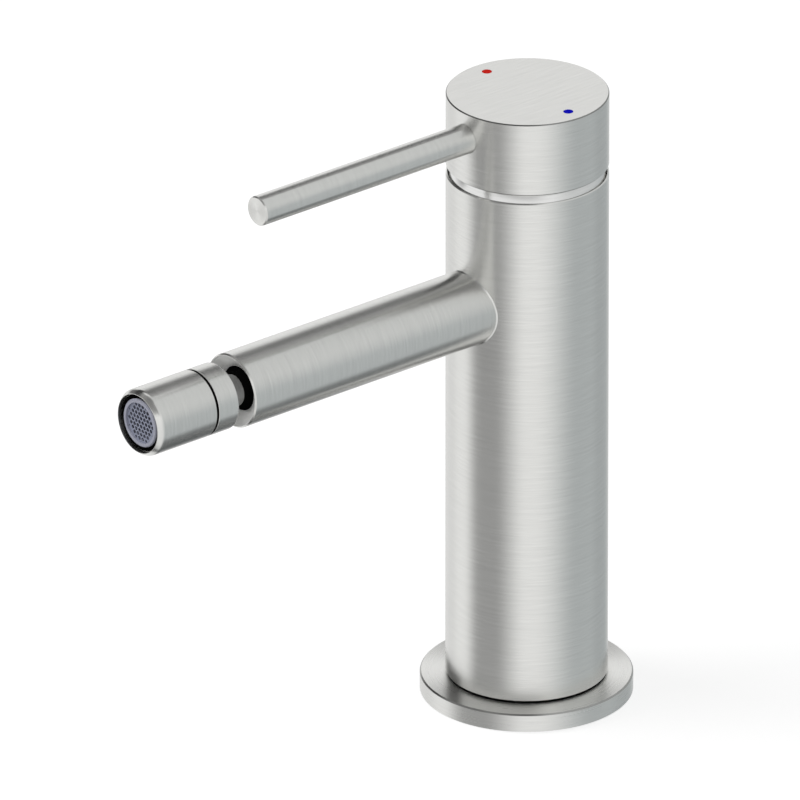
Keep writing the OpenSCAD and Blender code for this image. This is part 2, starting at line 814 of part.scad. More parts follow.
// Staggered rows of round holes, as far as a whole hole fits
module aerator_mesh() {
    hole = mesh_pitch - mesh_bar;
    row = mesh_pitch * sin(60);
    last = ceil(mesh_r / row);
    color(grey_plastic) on_spout() translate([0, 0, mesh_s]) difference() {
        cylinder(r = mesh_r, h = mesh_t);
        for (i = [-last:last], j = [-last:last]) {
            place = [(i + (j % 2 == 0 ? 0.5 : 0)) * mesh_pitch, j * row];
            if (norm(place) <= mesh_r - hole)
                translate([place.x, place.y, -past]) cylinder(d = hole, h = mesh_t + 2 * past, $fn = 24);
        }
    }
}

module jet_disc() {
    r = mesh_r - mesh_ledge - fit;
    color(white_plastic) on_spout() translate([0, 0, jet_disc_s]) difference() {
        cylinder(r = r, h = jet_disc_t);
        for (i = [0:jet_count - 1]) rotate([0, 0, i * 360 / jet_count])
            translate([r - jet_ledge - jet_d, 0, -past]) cylinder(d = jet_d, h = jet_disc_t + 2 * past);
    }
}

// The slot lets the stem lean back by the lift and stops it there
module rotor() {
    reach = stem_half / cos(lift_max) + slot_gap;
    above = rotor_rise + past;
    below = pivot_rise + past;
    color(white_plastic) difference() {
        union() {
            turned([
                [0, rotor_z], [rotor_flange_d / 2, rotor_z],
                [rotor_flange_d / 2, rotor_z + rotor_flange_t], [rotor_d / 2, rotor_z + rotor_flange_t],
                [rotor_d / 2, rotor_top - edge], [rotor_d / 2 - edge, rotor_top], [0, rotor_top],
            ]);
            for (side = [-1, 1]) translate([
                side * (rail_x + rail_t / 2) - rail_t / 2, -rail_l / 2, rotor_z - rail_drop])
                cube([rail_t, rail_l, rail_drop + past]);
        }
        translate([stem_half + run, 0, pivot_z]) rotate([0, -90, 0])
            linear_extrude(stem_w + 2 * run) polygon([
                [above, -reach], [above, reach + above * tan(lift_max)], [0, reach], [-below, reach],
                [-below, -reach - below * tan(lift_max)], [0, -reach],
            ]);
        translate([-rotor_d, 0, pivot_z]) rotate([0, 90, 0])
            cylinder(d = pivot_pin_d + 2 * fit, h = 2 * rotor_d, $fn = 48);
    }
}

module pivot_pin() {
    length = rotor_d - 2 * pivot_pin_inset;
    color(steel) translate([-length / 2, 0, pivot_z]) rotate([0, 90, 0])
        cylinder(d = pivot_pin_d, h = length, $fn = 48);
}

// A plate between the rotor's rails, with a socket for the stem's tip and two pegs for the disc
module disc_coupler() {
    flat_x = rail_x - slot_gap;
    flat_z = rotor_z - rail_drop - slot_gap;
    socket = tip_d / 2 + slot_gap;
    socket_z = pivot_z - stem_arm - socket;
    top = coupler_z + coupler_t;
    coupler_r = moving_disc_d / 2 - coupler_inset;
    color(black_plastic) difference() {
        union() {
            translate([0, 0, coupler_z]) cylinder(r = coupler_r, h = flat_z - coupler_z);
            intersection() {
                translate([0, 0, coupler_z]) cylinder(r = coupler_r, h = coupler_t);
                translate([-flat_x, -moving_disc_d, coupler_z])
                    cube([2 * flat_x, 2 * moving_disc_d, coupler_t]);
            }
            for (side = [-1, 1]) translate([0, side * peg_y, coupler_z - peg_l])
                cylinder(d = peg_d, h = peg_l + past, $fn = 48);
        }
        translate([0, 0, socket_z]) cylinder(r = socket, h = top - socket_z + past);
        translate([0, 0, top - socket_flare])
            cylinder(r1 = socket, r2 = socket + socket_flare + past, h = socket_flare + past);
    }
}

module moving_disc() {
    color(ceramic) translate([0, 0, moving_disc_z]) difference() {
        cylinder(d = moving_disc_d, h = disc_t);
        translate([0, 0, -past]) cylinder(d = pocket_d, h = pocket_depth + past);
        for (side = [-1, 1]) translate([0, side * peg_y, disc_t - peg_l - fit])
            cylinder(d = peg_d + 2 * fit, h = peg_l + past, $fn = 48);
    }
}

// Square bar above the pivot, and a ball tip below it
module lever_stem() {
    color(brass) difference() {
        union() {
            translate([-stem_half, -stem_half, pivot_z]) cube([stem_w, stem_w, stem_top - pivot_z]);
            translate([-stem_half, 0, pivot_z]) rotate([0, 90, 0]) cylinder(d = stem_w, h = stem_w);
            translate([0, 0, pivot_z - stem_arm]) {
                cylinder(d = tip_neck_d, h = stem_arm);
                sphere(d = tip_d);
            }
        }
        translate([-stem_w, 0, pivot_z]) rotate([0, 90, 0])
            cylinder(d = pivot_pin_d + 2 * run, h = 2 * stem_w, $fn = 48);
    }
}

module cap() {
    color(steel) difference() {
        union() {
            difference() {
                turned([
                    [0, cap_z0], [body_r - cap_bevel, cap_z0], [body_r, cap_z0 + cap_bevel],
                    [body_r, cap_z1 - cap_bevel], [body_r - cap_bevel, cap_z1], [0, cap_z1],
                ]);
                turned([
                    [0, cap_z0 - past], [cap_mouth_r, cap_z0 - past], [cap_mouth_r, cap_z0],
                    [cap_bore_r, max(cap_relief_z, cap_z0 + fit)],
                    [cap_bore_r, cap_ceiling], [0, cap_ceiling],
                ]);
            }
            translate([0, 0, boss_z]) cylinder(r = boss_r, h = cap_ceiling - boss_z + past);
            on_lever() cylinder(r = lever_rib_r, h = cap_bore_r + cap_wall / 2);
        }
        translate([-stem_half - fit, -stem_half - fit, pivot_z])
            cube([stem_w + 2 * fit, stem_w + 2 * fit, stem_top + fit - pivot_z]);
        on_lever() cylinder(r = screw_r + fit, h = lever_seat + past);
        on_lever() translate([0, 0, lever_seat]) cylinder(d = lever_d + 2 * fit, h = body_r);
        for (side = [-1, 1]) translate([side * dot_offset, 0, cap_z1 - dot_depth])
            cylinder(d = dot_d + 2 * fit, h = dot_depth + past);
    }
}

module lever_pin() {
    r = lever_d / 2;
    stub_s = grub_s + grub_l + 2 * fit;
    color(steel) on_lever() turned([
        [0, stub_s], [screw_r - edge, stub_s], [screw_r, stub_s + edge], [screw_r, lever_seat + fit],
        [r, lever_seat + fit], [r, lever_reach - lever_bevel], [r - lever_bevel, lever_reach],
        [0, lever_reach],
    ]);
}

module grub_screw() {
    socket_depth = 2.2;
    color(steel) on_lever() translate([0, 0, grub_s]) difference() {
        cylinder(r = screw_r, h = grub_l);
        translate([0, 0, grub_l - socket_depth])
            cylinder(d = hex_w / cos(30), h = socket_depth + past, $fn = 6);
    }
}

// One enamelled dot, set flush in the cap's top
module dot() {
    translate([0, 0, cap_z1 - dot_depth + fit]) cylinder(d = dot_d, h = dot_depth - fit);
}

module hot_dot() {
    color("#c41a1a") translate([-dot_offset, 0, 0]) dot();
}

module cold_dot() {
    color("#1616b4") translate([dot_offset, 0, 0]) dot();
}

column();
base_flange();
base_seal();
deck_gasket();
base_plug();
hot_tube();
cold_tube();
valve_block();
cartridge_base();
cartridge_seals();
cartridge_housing();
fixed_disc();
cartridge_nut();
dome_cover();
spout_tube();
spout_connector();
spout_seals();
joint_bush();
ball_seal();
ball_retainer();
rotor();
pivot_pin();
disc_coupler();
moving_disc();
cap();
lever_pin();
lever_stem();
grub_screw();
hot_dot();
cold_dot();
slip_ring();
nozzle_ball();
nozzle_neck();
nozzle_washer();
nozzle_sleeve();
aerator_seal();
aerator_housing();
aerator_insert();
aerator_mesh();
jet_disc();
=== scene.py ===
# %% [markdown]
# # A single-lever bidet mixer in satin brushed steel
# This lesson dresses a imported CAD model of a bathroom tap. The model brings every piece at its real size,
# in metres, with +Z up and the spout and the lever towards -Y. Nothing of it is moved or resized here.
# What Blender adds is the studio, the finish of each metal, rubber and plastic, and new meshes for seven
# pieces. Those that lie along the spout and the lever are turned on their own axes, so that their
# scratches can run round them. The dome under the cap gets a wider brim, and the mesh disc in the
# nozzle's mouth gets more holes near its edge.

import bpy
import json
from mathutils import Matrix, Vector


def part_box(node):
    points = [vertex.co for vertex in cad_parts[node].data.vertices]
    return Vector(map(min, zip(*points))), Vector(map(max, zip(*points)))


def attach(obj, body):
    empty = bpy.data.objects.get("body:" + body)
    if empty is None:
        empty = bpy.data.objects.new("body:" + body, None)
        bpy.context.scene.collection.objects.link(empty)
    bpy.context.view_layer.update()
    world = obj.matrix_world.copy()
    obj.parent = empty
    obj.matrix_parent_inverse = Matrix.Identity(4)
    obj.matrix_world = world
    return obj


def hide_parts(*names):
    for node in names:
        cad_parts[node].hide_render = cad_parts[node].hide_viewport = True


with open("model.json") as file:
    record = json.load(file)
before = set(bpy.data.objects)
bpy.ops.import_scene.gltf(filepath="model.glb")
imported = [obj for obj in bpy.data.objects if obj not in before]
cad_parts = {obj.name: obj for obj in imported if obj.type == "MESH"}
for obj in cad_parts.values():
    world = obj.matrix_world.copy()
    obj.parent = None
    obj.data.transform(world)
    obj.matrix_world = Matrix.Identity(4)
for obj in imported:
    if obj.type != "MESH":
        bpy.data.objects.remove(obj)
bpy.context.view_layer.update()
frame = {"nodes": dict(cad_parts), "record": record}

# %% [markdown]
# The other modules come next, with the unit. Sizes are written in millimetres, as on a drawing, and mm
# turns them into Blender's metres.

# %% Modules and unit
import json
import math

import bmesh
import bpy
from mathutils import Matrix, Vector

mm = 0.001
scene = bpy.context.scene
print("Blender", bpy.app.version_string, "and one millimetre is", mm, "of its units")

# %% [markdown]
# A product shot of a tap is taken from far away with a long lens, so that the column's sides stay
# parallel. An orthographic camera would draw them exactly parallel, and a very long lens keeps the trace
# of perspective that a real camera leaves. The camera stands 50 degrees to the right of the tap's front
# and looks down by 25 degrees. Its target is written in the picture's own directions, to the right, up
# and towards the camera, because that is how a photographer frames: the tap's foot is low and right of
# the middle.

# %% Camera
AZIMUTH, ELEVATION = math.radians(-40), math.radians(25)
LENS, SENSOR = 1500, 36
FAR_LIMIT = 100
FRAME_WIDTH = 220.3 * mm
TARGET_RIGHT, TARGET_UP, TARGET_NEAR = -35.0 * mm, 79.1 * mm, 45 * mm

to_camera = Vector((
    math.cos(ELEVATION) * math.cos(AZIMUTH), math.cos(ELEVATION) * math.sin(AZIMUTH), math.sin(ELEVATION)))
right = Vector((-math.sin(AZIMUTH), math.cos(AZIMUTH), 0))
up = to_camera.cross(right)
distance = FRAME_WIDTH * LENS / SENSOR

camera_data = bpy.data.cameras.new("camera")
camera_data.lens = LENS
camera_data.sensor_width = SENSOR
camera_data.clip_end = FAR_LIMIT
camera = bpy.data.objects.new("camera", camera_data)
camera.matrix_world = (
    Matrix.Translation(right * TARGET_RIGHT + up * TARGET_UP + to_camera * (TARGET_NEAR + distance))
    @ Matrix((right, up, to_camera)).transposed().to_4x4())
scene.collection.objects.link(camera)
scene.camera = camera
scene.view_settings.view_transform = "Standard"
print(f"camera {distance:.2f} m away, frame {FRAME_WIDTH / mm:.0f} mm wide")

# %% [markdown]
# Node trees become hard to read when every Math node takes four lines. One small class wraps an output
# socket, and Python's own operators then add the Math nodes, so that `1 - mask * 0.5` is written as it is
# thought. All other nodes come from `node`, which first sets the node's choices and then its sockets.

# %% Wires between nodes
class Wire:
    """An output socket. Python's operators on it add Math nodes to its tree."""

    def __init__(self, tree, socket=None):
        self.tree = tree
        self.socket = socket

    def node(self, kind, settings, inputs, output=0):
        """A new node in the same tree, as the wire of one of its outputs."""
        made = self.tree.nodes.new(kind)
        for name, value in settings.items():
            setattr(made, name, value)
        for name, value in inputs.items():
            if isinstance(value, Wire):
                self.tree.links.new(value.socket, made.inputs[name])
            else:
                made.inputs[name].default_value = value
        return Wire(self.tree, made.outputs[output] if len(made.outputs) else None)

    def output(self, name):
        """Another output of the same node."""
        return Wire(self.tree, self.socket.node.outputs[name])

    def math(self, operation, *values):
        return self.node("ShaderNodeMath", {"operation": operation}, dict(enumerate(values)))

    def __add__(self, other):
        return self.math("ADD", self, other)

    def __sub__(self, other):
        return self.math("SUBTRACT", self, other)

    def __rsub__(self, other):
        return self.math("SUBTRACT", other, self)

    def __mul__(self, other):
        return self.math("MULTIPLY", self, other)

    __radd__ = __add__
    __rmul__ = __mul__

    def parts(self):
        """The X, Y and Z of a vector."""
        split = self.node("ShaderNodeSeparateXYZ", {}, {"Vector": self})
        return [split.output(axis) for axis in "XYZ"]

    def vector(self, x, y, z):
        """A vector from three values."""
        return self.node("ShaderNodeCombineXYZ", {}, {"X": x, "Y": y, "Z": z})

    def step(self, low, high, first=0.0, last=1.0):
        """A smooth step: first below low, last above high."""
        return self.node(
            "ShaderNodeMapRange", {"interpolation_type": "SMOOTHSTEP"},
            {"Value": self, "From Min": low, "From Max": high, "To Min": first, "To Max": last})

    def mix(self, first, second):
        """This value as the share of the second colour over the first."""
        return self.node(
            "ShaderNodeMix", {"data_type": "RGBA"},
            {"Factor": self, 6: first, 7: second}, output=2)


# %% [markdown]
# Metal has no colour of its own to speak of: it shows the room. So the room is the first thing to build.
# Walls and cards could be meshes round the tap, but they would have to be hidden from the camera and kept
# out of the model. The world can hold them as well, as functions of the direction. Its walls and its deck
# are white, and grey cards stand where a photographer would put them, to draw the dark bands that make a
# cylinder look round. The upright cards shade the column, the card on the right wall shades the spout,
# the high ones draw the thin dark lines along the bevels, and the ones on the deck shade what faces down.
# All their angles are in degrees, and azimuths are measured from the camera's own.

# %% Cards
CARDS = [
    # name, four azimuths and four elevations between which it fades in and out, share of the light it takes
    ("left front", (-100, -72, -48, -2), (-100, -95, -8, 14), (0.62, 0.62, 0.62)),
    ("right side", (8, 78, 145, 178), (-100, -95, -10, 30), (0.48, 0.45, 0.44)),
    ("right wall", (30, 70, 130, 160), (-10, 25, 60, 90), (0.27, 0.26, 0.26)),
    ("ceiling behind", (138, 152, 235, 255), (27, 33, 50, 62), (0.95, 0.95, 0.95)),
    ("left behind", (200, 216, 246, 262), (0, 14, 40, 56), (0.90, 0.90, 0.90)),
    ("ceiling at the left", (-130, -110, 5, 45), (26, 38, 84, 89), (0.76, 0.76, 0.76)),
    ("overhead", (-400, -300, 300, 400), (70, 80, 100, 110), (0.5, 0.5, 0.5)),
    ("deck at the right", (40, 90, 160, 190), (-100, -95, -50, -36), (0.70, 0.70, 0.70)),
    ("deck in front", (-120, -100, -30, -5), (-100, -95, -60, -48), (0.85, 0.85, 0.85)),
    ("deck far right", (108, 125, 170, 190), (-100, -95, -58, -50), (0.35, 0.35, 0.35)),
    ("low behind", (100, 122, 228, 246), (-40, -34, -10, -2), (0.13, 0.13, 0.13)),
]


def card(direction, azimuths, elevations):
    """How much of a direction lies on a card, from 0 to 1."""
    x, y, z = direction.parts()
    middle = (azimuths[0] + azimuths[3]) / 2
    turn = AZIMUTH + math.radians(middle)
    along = x * math.cos(turn) + y * math.sin(turn)
    side = y * math.cos(turn) - x * math.sin(turn)
    azimuth = direction.math("ARCTAN2", side, along) * math.degrees(1) + middle
    elevation = direction.math("ARCSINE", z) * math.degrees(1)
    mask = 1.0
    for angle, (start, full, last, end) in ((azimuth, azimuths), (elevation, elevations)):
        mask = mask * angle.step(start, full) * angle.step(last, end, 1.0, 0.0)
    return mask


print("cards in the studio:", [row[0] for row in CARDS])

# %% [markdown]
# The room starts white, and each card takes its share of the light out of it. Overlapping cards multiply,
# as dark cloths in front of each other do. The camera itself sees plain white behind the tap, which is
# how such a picture is cut out for a catalogue, and only reflections and soft light meet the cards.

# %% Studio world
WHITE = (1, 1, 1, 1)


def light_path(tree, *rays):
    """1 for the kinds of ray that are named, 0 for the rest."""
    path = tree.node("ShaderNodeLightPath", {}, {})
    total = path.output(rays[0])
    for ray in rays[1:]:
        total = total + path.output(ray)
    return total


world = bpy.data.worlds.new("studio")
scene.world = world
world.use_nodes = True
world.node_tree.nodes.clear()
air = Wire(world.node_tree)
direction = air.node("ShaderNodeTexCoord", {}, {})
room = WHITE
for _, azimuths, elevations, taken in CARDS:
    kept = [1 - share for share in taken]
    shade = card(direction, azimuths, elevations).mix(WHITE, (*kept, 1))
    room = air.node(
        "ShaderNodeMix", {"data_type": "RGBA", "blend_type": "MULTIPLY"},
        {"Factor": 1.0, 6: room, 7: shade}, output=2)
plain = light_path(air, "Is Camera Ray", "Is Transmission Ray")
seen = plain.mix(room, WHITE)
background = air.node("ShaderNodeBackground", {}, {"Color": seen, "Strength": 1.0})
air.node("ShaderNodeOutputWorld", {}, {"Surface": background})
print("nodes in the world:", len(world.node_tree.nodes))

# %% [markdown]
# The deck is a plain pale disc, large enough to leave no edge in the picture. For the camera it glows a
# little, just enough to reach the white of the background. The rest of its light comes from the lamp and
# the world, so it still carries the tap's soft shadow. Reflections pass it by and meet the world's lower
# half, where the cards on the deck are. It lies a hair below the tap, because two faces at one height
# fight over which of them is seen.

# %% Deck
FLOOR_RADIUS = 3.0
FLOOR_SIDES = 96
FLOOR_DROP = 0.2 * mm
FLOOR_GREY = (0.5, 0.5, 0.5, 1)
FLOOR_GLOW = 0.65


def new_material(name):
    """A material with an empty tree, and a wire into that tree."""
    material = bpy.data.materials.new(name)
    material.use_nodes = True
    material.node_tree.nodes.clear()
    return material, Wire(material.node_tree)


def on_circle(radius, turn, sides):
    """X and Y of one corner of a regular polygon round the origin."""
    angle = turn * math.tau / sides
    return radius * math.cos(angle), radius * math.sin(angle)


floor_mesh = bpy.data.meshes.new("deck_floor")
floor_ring = [(*on_circle(FLOOR_RADIUS, turn, FLOOR_SIDES), 0) for turn in range(FLOOR_SIDES)]
floor_mesh.from_pydata(floor_ring, [], [list(range(FLOOR_SIDES))])
floor = bpy.data.objects.new("deck_floor", floor_mesh)
floor.location.z = -FLOOR_DROP
floor.visible_glossy = False
scene.collection.objects.link(floor)

floor_material, tree = new_material("pale_deck")
rays = light_path(tree, "Is Camera Ray", "Is Glossy Ray", "Is Transmission Ray")
matte = tree.node("ShaderNodeBsdfDiffuse", {}, {"Color": FLOOR_GREY})
glow = tree.node("ShaderNodeEmission", {}, {"Color": WHITE, "Strength": FLOOR_GLOW * rays})
both = tree.node("ShaderNodeAddShader", {}, {0: matte, 1: glow})
tree.node("ShaderNodeOutputMaterial", {}, {"Surface": both})
floor_mesh.materials.append(floor_material)
print(f"deck {2 * FLOOR_RADIUS:.0f} m across")

# %% [markdown]
# One lamp gives the shadow its direction. It hangs high up, to the left of the tap as the camera sees it.
# A small lamp would draw a hard shadow, so this one is nearly a metre across. The steel doesn't mirror
# it, since its bright spot would cover the brushing: what the steel shows comes from the room alone.

# %% Lamp
LAMP_SIZE = 0.9
LAMP_POWER = 9
LAMP_PLACE = (-0.5, -0.6, 1.3)
LAMP_AIM = (0, 0, 0.09)

lamp_data = bpy.data.lights.new("soft_lamp", "AREA")
lamp_data.shape = "DISK"
lamp_data.size = LAMP_SIZE
lamp_data.energy = LAMP_POWER
lamp = bpy.data.objects.new("soft_lamp", lamp_data)
lamp.location = LAMP_PLACE
lamp.rotation_euler = (Vector(LAMP_AIM) - lamp.location).to_track_quat("-Z", "Y").to_euler()
lamp.visible_glossy = False
scene.collection.objects.link(lamp)
print(f"lamp {lamp.location.length:.2f} m from the tap's foot, {LAMP_POWER} W")

# %% [markdown]
# No real finish is even, so each one needs something that varies. An image of scratches would do, but it
# has a size and a seam, and noise has neither. These helpers lay noises over a tone or a gloss. Blender's
# noise is 0.5 on average, so half of each swing is taken off again, and the mean stays what it is written
# to be.

# %% Helpers for finishes
def noise(tree, place, scale, detail=2.0, roughness=0.5):
    """Noise from 0 to 1 at a place."""
    return tree.node(
        "ShaderNodeTexNoise", {},
        {"Vector": place, "Scale": scale, "Detail": detail, "Roughness": roughness})


def varied(mean, *waves):
    """A mean value with noises laid over it, each as (noise, swing)."""
    value = mean - sum(swing for _, swing in waves) / 2
    for wave, swing in waves:
        value = value + swing * wave
    return value


def scaled(tree, colour, level):
    """A colour made lighter or darker by a level that varies."""
    return tree.node("ShaderNodeVectorMath", {"operation": "SCALE"}, {0: colour, "Scale": level})


# %% [markdown]
# Satin steel is turned on a lathe and then brushed while it spins, so its scratches run round the axis.
# They do two things: they spread each reflection across the scratches, which is anisotropy, and the
# coarser ones show as faint lines. The lines could be cut into the mesh, but noise gives them on any
# shape and at no cost in faces. It is stretched nearly thirtyfold round the axis, on a turned face too,
# where the lines are circles. Wider streaks lie among them, and vary the tone and the gloss.
#
# A flat end has a shader of its own where it is finished apart from the side. The cap's top is one: it is
# ground in one direction, along Y, and then polished. Masks from the surface's own direction find the
# flat ends, whose tone gets a painted light or shade for how they catch the light, and the broken edges
# round them, where a painted dark reflection draws the thin dark lines that show on the real tap.

# %% Brushed steel
STEEL = (0.735, 0.735, 0.715)
GROUND_ROUGHNESS = 0.13
LINE_SWING = 0.14
SCRATCH_DEPTH = 0.01 * mm
STREAK_SCALE, PATCH_SCALE = 0.55, 30.0
QUARTER_TURN = 0.25
# How far a face looks along the axis, which is 0 on the side and 1 on a flat end, where each mask fades
FLAT = (0.90, 0.97)
# The bevel ranges pick the broken edges, where a dark reflection is painted into the tone
BEVEL_STARTS, BEVEL_ENDS = (0.45, 0.60), (0.82, 0.90)


def brushed(name, colour=STEEL, roughness=0.25, anisotropy=0.85, ends="turned", painted_end_light=-0.008,
            painted_edge_reflection=0.0, line=0.25, length=7, depth=0.12, metallic=1.0):
    """Metal brushed round the local Z axis, with scratches of a line's width and a length in millimetres.
    Its flat ends are turned, like the sides, or ground along Y and polished. Their tone is shifted by a
    painted light or shade, for how they catch the light, and the tone of the broken edges round them by a
    painted dark reflection."""
    material, tree = new_material(name)
    texture = tree.node("ShaderNodeTexCoord", {}, {})
    x, y, z = texture.output("Object").parts()
    facing = tree.math("ABSOLUTE", texture.output("Normal").parts()[2])
    flat = facing.step(*FLAT)
    fine, long = 1 / (line * mm), 1 / (length * mm)
    radius = tree.math("SQRT", x * x + y * y)
    place = tree.vector(x * long, y * long, (z + radius) * fine)
    if ends == "ground":
        place = flat.mix(place, tree.vector(x * fine, y * long, z * long))
    lines = noise(tree, place, 1.0, detail=3.0, roughness=0.6)
    streaks = noise(tree, place, STREAK_SCALE)
    patches = noise(tree, texture.output("Object"), PATCH_SCALE)
    # The flat ends get a painted light or shade on top of the steel's own tone
    level = varied(1.0, (lines, LINE_SWING), (streaks, LINE_SWING)) + painted_end_light * flat
    # The broken edges get a painted dark reflection that darkens their tone
    if painted_edge_reflection:
        bevel = facing.step(*BEVEL_STARTS) * facing.step(*BEVEL_ENDS, 1.0, 0.0)
        level = level + painted_edge_reflection * bevel
    shade = scaled(tree, colour, level)
    bump = tree.node("ShaderNodeBump", {}, {"Strength": depth, "Distance": SCRATCH_DEPTH, "Height": lines})
    shared = {"Base Color": shade, "Metallic": metallic, "Normal": bump}
    surface = tree.node("ShaderNodeBsdfPrincipled", {}, {
        **shared, "Roughness": varied(roughness, (streaks, 0.05), (patches, 0.03)),
        "Anisotropic": anisotropy, "Anisotropic Rotation": QUARTER_TURN})
    if ends == "ground":
        even = tree.node("ShaderNodeBsdfPrincipled", {}, {
            **shared, "Roughness": varied(GROUND_ROUGHNESS, (streaks, 0.02), (patches, 0.02))})
        surface = tree.node("ShaderNodeMixShader", {}, {0: flat, 1: surface, 2: even})
    tree.node("ShaderNodeOutputMaterial", {}, {"Surface": surface})
    return material


# %% [markdown]
# One recipe then gives all the steel of the tap. The cap's top and the flange's face catch the light
# differently from the column, so each gets a painted light or shade of its own, and its broken edge a
# painted dark reflection. The retainer's cone looks pale beside the black ball, where clean metal would
# mirror that ball, so its finish is dull and only partly metallic, and its colour is made paler than the
# steel's, which is painted light. The neck is half hidden in the shade of the ring and the ball, and that
# shade is painted into its polish as a colour darker than the steel's.

# %% The steels
satin_steel = brushed("satin_steel")
# The cap's ground end and the flange's face carry painted light or shade, their broken edges a painted dark
# reflection
ground_steel = brushed("satin_steel_ground_end", ends="ground", painted_end_light=-0.078, painted_edge_reflection=-0.6)
flange_steel = brushed(
    "satin_steel_flange", roughness=0.28, anisotropy=0.9, painted_end_light=0.062, painted_edge_reflection=-0.45)
polished_steel = brushed(
    "polished_steel", (0.78, 0.78, 0.77), roughness=0.2, anisotropy=0.3, depth=0.02)
# The cone's pale colour is painted light; its dull, partly metallic finish is its own
cone_steel_painted_light = brushed(
    "cone_steel_painted_light", (0.95, 0.95, 0.93), roughness=0.4, anisotropy=0.1, depth=0.02, metallic=0.3)
# The neck's dark colour is painted shade
neck_steel_painted_shade = brushed("neck_steel_painted_shade", (0.5, 0.5, 0.5), roughness=0.1, anisotropy=0.0, depth=0.02)
print("nodes in the ground steel:", len(ground_steel.node_tree.nodes))

# %% [markdown]
# Brass, copper, rubber, ceramic and the plastics sit mostly inside. A flat colour would do where nobody
# looks, but the model is also taken apart, so they get a finish each. Turned brass shows its tool marks
# and is brushed like the steel. Rubber is nearly black with a dull bloom, and moulded plastic has a fine
# grain: these share one recipe, in which a fine noise is the grain and a broad one varies the tone and
# the gloss.

# %% Cast and moulded finishes
BROAD_SCALE = 60.0
GRAIN_DEPTH = 0.02 * mm


def cast(name, colour, roughness, grain=0.3, depth=0.2, tone=0.08, specular=0.5):
    """A plain material with a fine grain: grain is its size in millimetres."""
    material, tree = new_material(name)
    place = tree.node("ShaderNodeTexCoord", {}, {}).output("Object")
    fine = noise(tree, place, 1 / (grain * mm), detail=3.0, roughness=0.6)
    broad = noise(tree, place, BROAD_SCALE)
    shade = scaled(tree, colour, varied(1.0, (fine, tone), (broad, tone)))
    bump = tree.node("ShaderNodeBump", {}, {"Strength": depth, "Distance": GRAIN_DEPTH, "Height": fine})
    surface = tree.node("ShaderNodeBsdfPrincipled", {}, {
        "Base Color": shade, "Roughness": varied(roughness, (broad, 0.1)), "Normal": bump,
        "Specular IOR Level": specular})
    tree.node("ShaderNodeOutputMaterial", {}, {"Surface": surface})
    return material


def enamel(name, colour):
    """The hard paint in the cap's dots."""
    return cast(name, colour, 0.35, grain=0.2, depth=0.05, tone=0.04, specular=0.0)


# %% [markdown]
# The model's record names eleven materials, its slots, and each node belongs to one of them. A dictionary
# from slot to finish keeps the two lists together, and a slot that was forgotten would stop the script
# instead of leaving a piece bare.

# %% A finish for each slot
materials = {
    "satin_steel": satin_steel,
    "polished_steel": polished_steel,
    "brass": brushed(
        "turned_brass", (0.78, 0.62, 0.33), roughness=0.3, anisotropy=0.6, length=20, depth=0.2),
    "copper": brushed(
        "drawn_copper", (0.75, 0.42, 0.28), roughness=0.3, anisotropy=0.4, length=4, depth=0.05),
    "black_rubber": cast("black_rubber", (0.004, 0.004, 0.004), 0.6, grain=0.15, specular=0.0),
    "ceramic": cast("lapped_ceramic", (0.88, 0.87, 0.83), 0.15, grain=0.1, depth=0.02, tone=0.03),
    "white_plastic": cast("white_plastic", (0.8, 0.82, 0.82), 0.4),
    "grey_plastic": cast("grey_plastic", (0.42, 0.43, 0.51), 0.4, specular=0.2),
    "black_plastic": cast("black_plastic", (0.003, 0.003, 0.003), 0.45, depth=0.1, specular=0.0),
    "red_enamel": enamel("red_enamel", (0.56, 0.020, 0.014)),
    "blue_enamel": enamel("blue_enamel", (0.006, 0.006, 0.45)),
}
print("finishes:", sorted(materials))

# %% [markdown]
# Most nodes take the finish of their slot. Five look different from the rest of it: the cap and the
# flange, whose flat ends carry painted light or shade and whose broken edges a painted dark reflection,
# the retainer's cone, whose paler colour is painted light, the mesh, painted a shade darker than the
# insert round it for the shade its walls cast on each other, and the jet disc, painted nearly black for
# the shade behind the mesh.

# %% Dressing the nodes
own_finish = {
    # The cap's and the flange's finishes paint light or shade on their ends and edges, and the cone's
    # paints light
    "cap": ground_steel,
    "base_flange": flange_steel,
    "ball_retainer": cone_steel_painted_light,
    # The jet disc is painted nearly black: painted shade seen through the mesh's holes
    "jet_disc": cast("painted_shade_plastic", (0.01, 0.01, 0.012), 0.45),
    # The mesh is painted darker than its insert: painted shade from its walls shading each other
    "aerator_mesh": cast("mesh_plastic_painted_shade", (0.31, 0.33, 0.42), 0.4, specular=0.2),
}
slot_of = {row["node"]: row["material_slot"] for row in frame["record"]["subparts"]}


def finish_of(node):
    """The finish of a node: its own, or else that of its slot."""
    return own_finish.get(node, materials[slot_of[node]])


for name in slot_of:
    node = frame["nodes"][name]
    node.data.materials.clear()
    node.data.materials.append(finish_of(name))
print("dressed nodes:", len(slot_of), "with a finish of their own:", sorted(own_finish))

# %% [markdown]
# The spout, the nozzle and the lever lie along -Y, and the brushing is measured round an object's local
# Z. A texture could be turned to each axis, but a new mesh also brings the small roundings that catch the
# light. So each of these pieces is turned again here, on its own axis. It starts as an outline of radius
# and length, drawn as a turner would, in which each corner may be rounded by an arc.

# %% Rounded outlines
ARC_STEPS = 6


